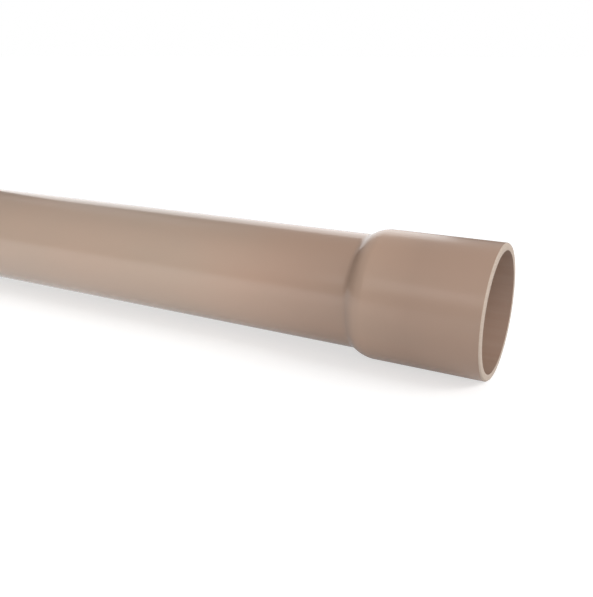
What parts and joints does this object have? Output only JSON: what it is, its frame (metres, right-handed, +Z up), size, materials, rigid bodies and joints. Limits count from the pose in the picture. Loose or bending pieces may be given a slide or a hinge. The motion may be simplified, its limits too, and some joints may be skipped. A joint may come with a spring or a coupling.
{
  "type": "pvc water pipe",
  "caption": "Straight length of rigid PVC pressure pipe for cold water, with a solvent-weld socket formed on one end and a plain spigot on the other.",
  "frame": {"origin": "centre of the socket's mouth, on the pipe's axis", "axes": "+X along the pipe's axis and out of the socket's mouth, +Z up as the pipe lies on a floor; the spigot end is at -X"},
  "size_m": [3, 0.056, 0.0562],
  "materials": {
    "pipe_plastic": "satin"
  },
  "bodies": {
    "root": {"pipe": "pipe_plastic"}
  },
  "joints": []
}
